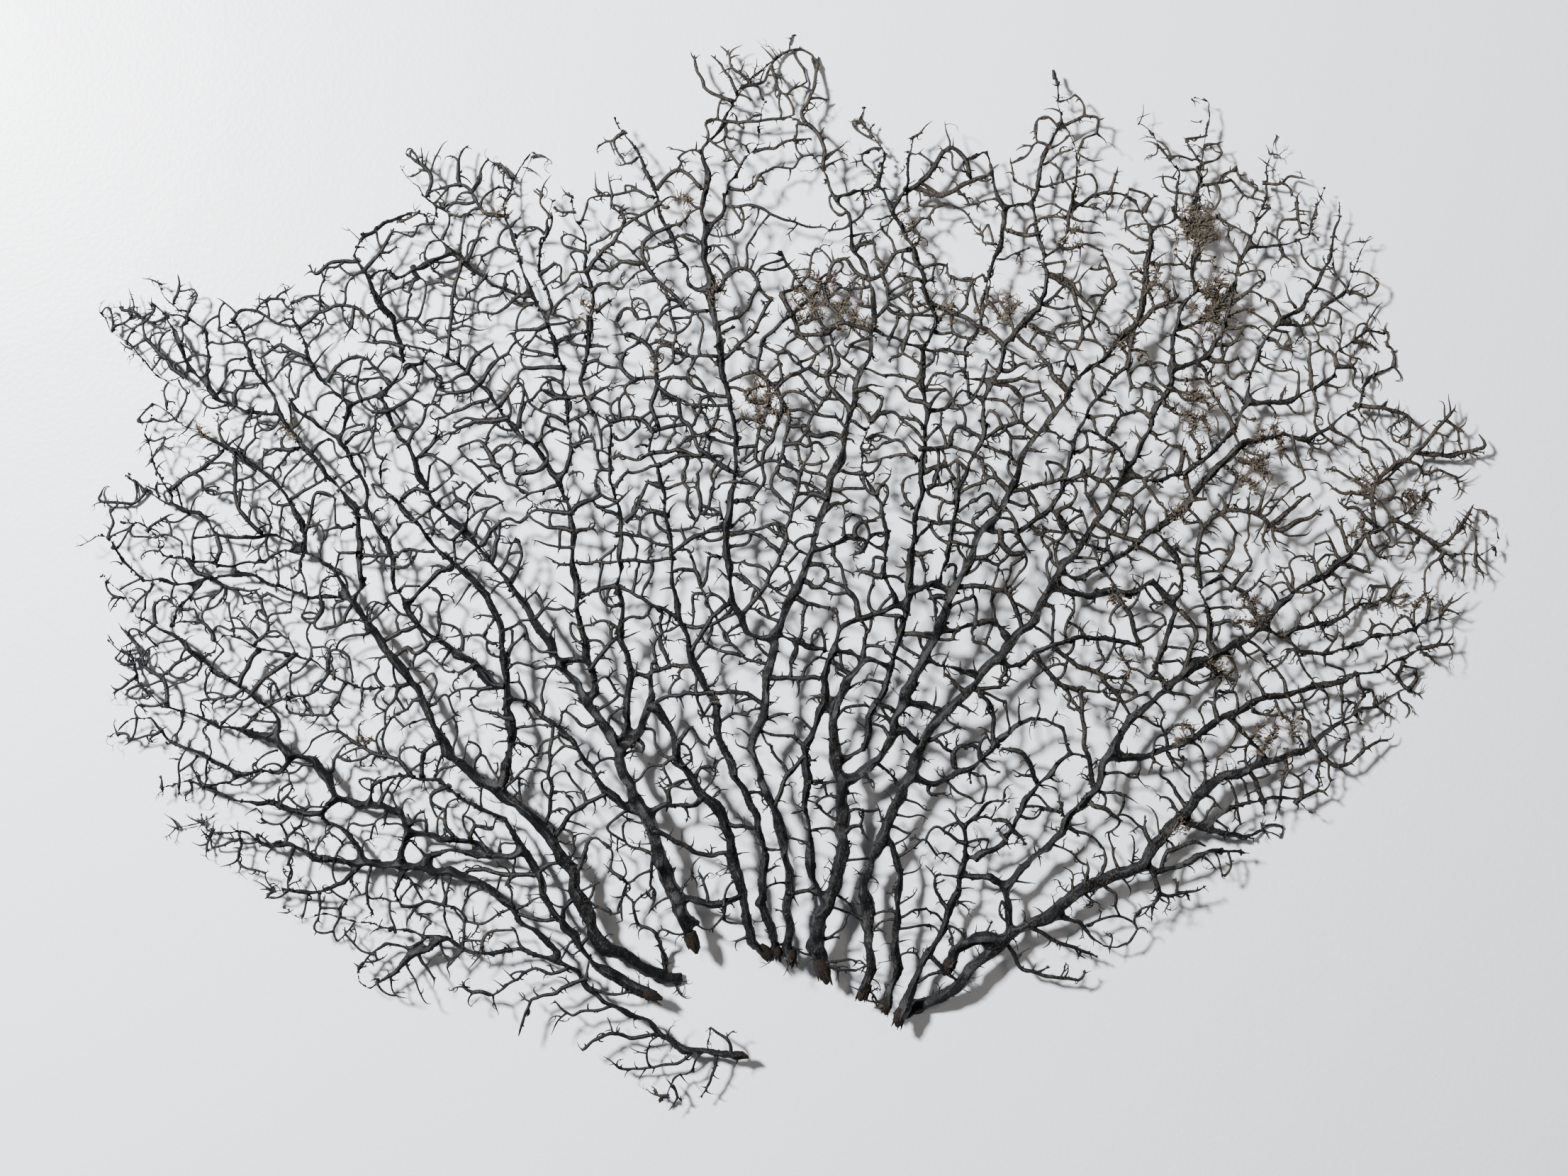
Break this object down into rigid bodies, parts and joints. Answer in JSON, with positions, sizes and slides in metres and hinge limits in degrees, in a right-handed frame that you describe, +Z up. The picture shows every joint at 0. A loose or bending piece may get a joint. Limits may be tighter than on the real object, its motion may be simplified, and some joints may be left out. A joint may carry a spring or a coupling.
{
  "type": "dried sea fan",
  "caption": "Dried black sea fan skeleton lying flat: main stems broken off at the base, forking into a wide net of fine branches.",
  "frame": {"origin": "middle of the fan's bounding box, on the surface it lies on", "axes": "+X across the fan, +Y from the broken stems towards the fan's top edge, +Z up out of the surface"},
  "size_m": [0.597, 0.4552, 0.0266],
  "materials": {
    "skeleton": "black horny coral skeleton, satin"
  },
  "bodies": {
    "root": {"low_left_stem": "skeleton", "low_left_fork": "skeleton", "second_stem": "skeleton", "second_stem_riser": "skeleton", "second_stem_tip": "skeleton", "third_stem": "skeleton", "third_stem_fork": "skeleton", "left_outer_stem": "skeleton", "left_inner_stem": "skeleton", "left_cross_stem": "skeleton", "left_middle_stem": "skeleton", "left_upper_cross": "skeleton", "left_ridge_stem": "skeleton", "left_rising_stem": "skeleton", "upper_left_spray": "skeleton", "left_twin_stem": "skeleton", "great_stem": "skeleton", "great_stem_left": "skeleton", "left_crown_stem": "skeleton", "left_crown_fork": "skeleton", "inner_left_stem": "skeleton", "centre_left_stem": "skeleton", "left_top_stem": "skeleton", "left_top_fork": "skeleton", "thin_centre_stem": "skeleton", "slim_stem": "skeleton", "centre_stem": "skeleton", "centre_stem_top": "skeleton", "centre_stem_left": "skeleton", "top_crown_stem": "skeleton", "top_left_stem": "skeleton", "broad_stem": "skeleton", "broad_stem_left": "skeleton", "bright_stem": "skeleton", "bright_stem_top": "skeleton", "diagonal_stem": "skeleton", "diagonal_stem_top": "skeleton", "upright_stem": "skeleton", "tall_top_stem": "skeleton", "high_arch_stem": "skeleton", "long_diagonal_stem": "skeleton", "long_diagonal_top": "skeleton", "lattice_stem": "skeleton", "right_big_arm": "skeleton", "low_right_spray": "skeleton", "low_right_stem": "skeleton", "v_stem": "skeleton", "right_middle_stem": "skeleton", "right_upper_tip": "skeleton", "right_long_stem": "skeleton", "right_fan_stem": "skeleton", "right_root_stem": "skeleton", "right_lattice_stem": "skeleton", "low_lattice_stem": "skeleton", "right_arch_stem": "skeleton", "hoop_stem": "skeleton", "upper_right_stem": "skeleton", "upper_right_riser": "skeleton", "far_top_stem": "skeleton", "top_right_tuft": "skeleton"}
  },
  "joints": []
}
